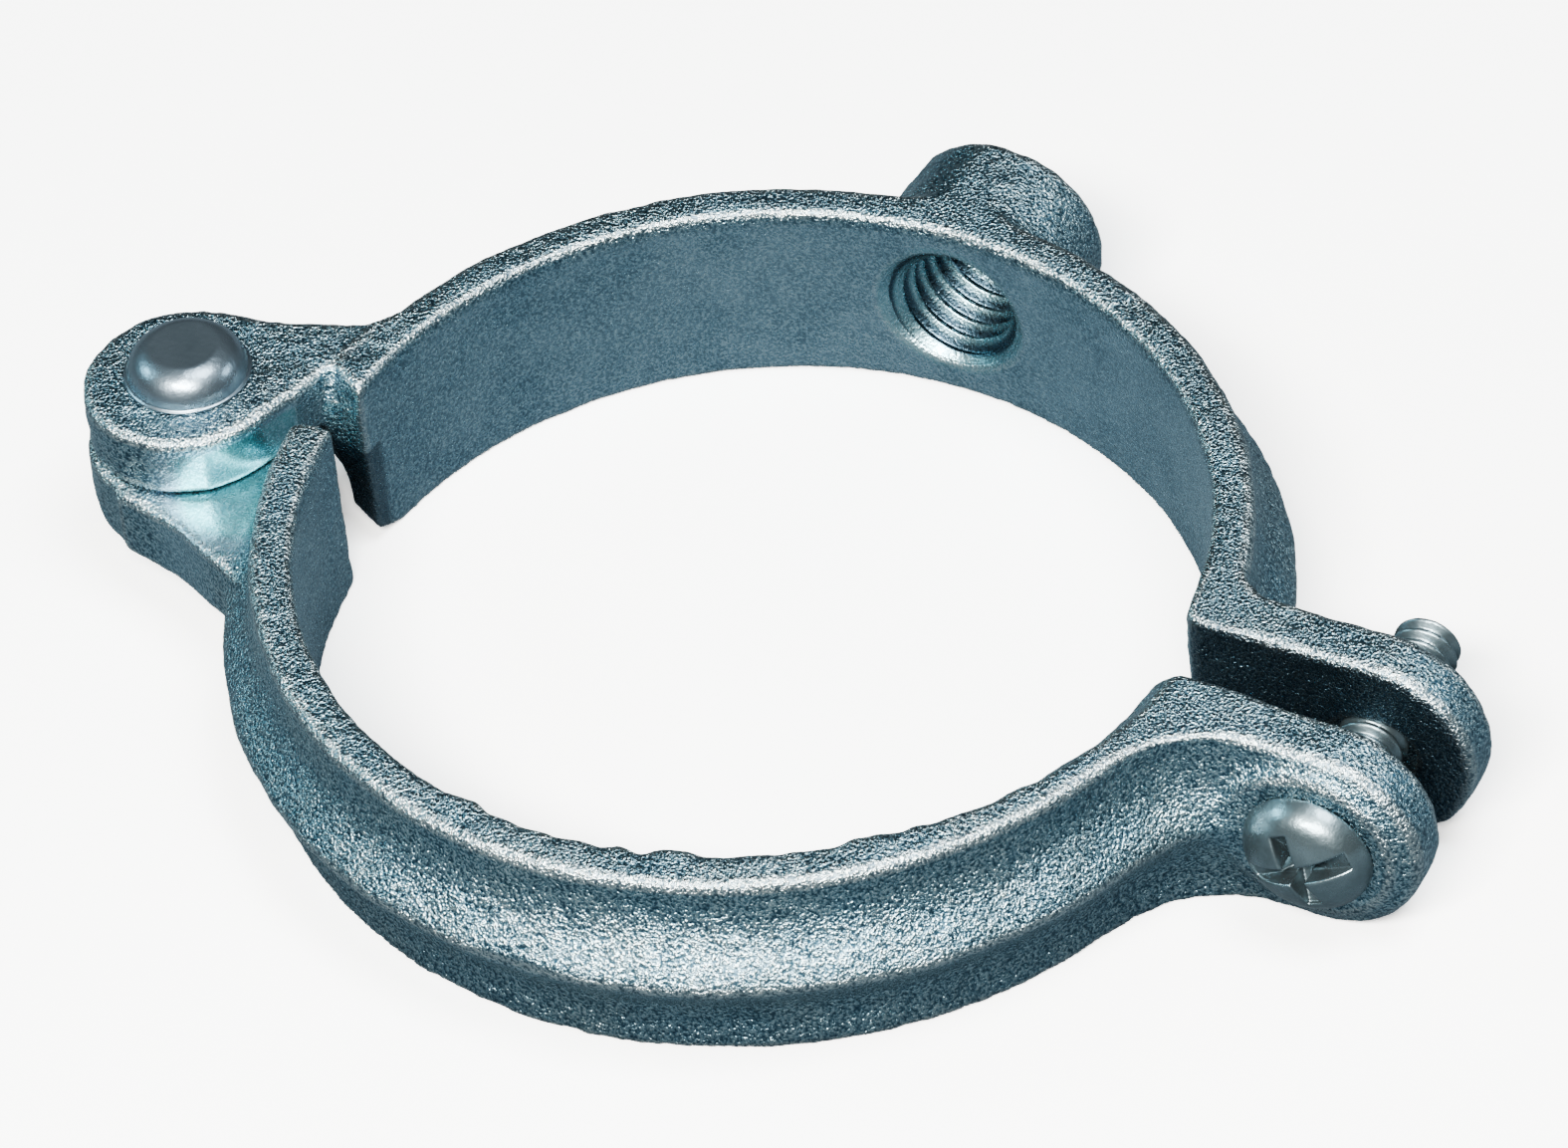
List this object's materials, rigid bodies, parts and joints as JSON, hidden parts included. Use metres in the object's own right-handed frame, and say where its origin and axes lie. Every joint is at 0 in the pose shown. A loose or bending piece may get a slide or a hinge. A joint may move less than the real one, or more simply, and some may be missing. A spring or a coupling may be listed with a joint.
{
  "type": "hinged split-ring pipe hanger",
  "caption": "Cast split-ring pipe clamp: two half rings hinged on a rivet, closed by a screw through two ears, with a threaded boss for a hanger rod.",
  "frame": {"origin": "centre of the pipe ring, on the ring's underside: the mount pipe_seat's axis at Z = 0", "axes": "+Z along the pipe's axis, +Y towards the hanger rod, +X towards the ears and the clamp screw"},
  "size_m": [0.102, 0.0781, 0.0173],
  "materials": {
    "galvanised_casting": "rough sand-cast iron with a speckled blue-grey zinc coat",
    "rivet_steel": "smooth zinc-plated steel, slightly hammered",
    "screw_steel": "zinc-plated steel, lightly worn"
  },
  "bodies": {
    "rod_half": {"rod_half": "galvanised_casting", "hinge_rivet": "rivet_steel"},
    "hinged_half": {"hinged_half": "galvanised_casting"},
    "clamp_screw": {"clamp_screw": "screw_steel"}
  },
  "joints": [
    {"name": "ring_hinge", "type": "hinge", "parent": "rod_half", "child": "hinged_half", "pos_m": [-0.0431, -0.00135, 0.0075], "axis": [0, 0, -1], "range_deg": [-2.9, 110]},
    {"name": "screw_travel", "type": "slide", "parent": "hinged_half", "child": "clamp_screw", "axis": [0, -1, 0], "range_m": [0, 0.0115]}
  ]
}
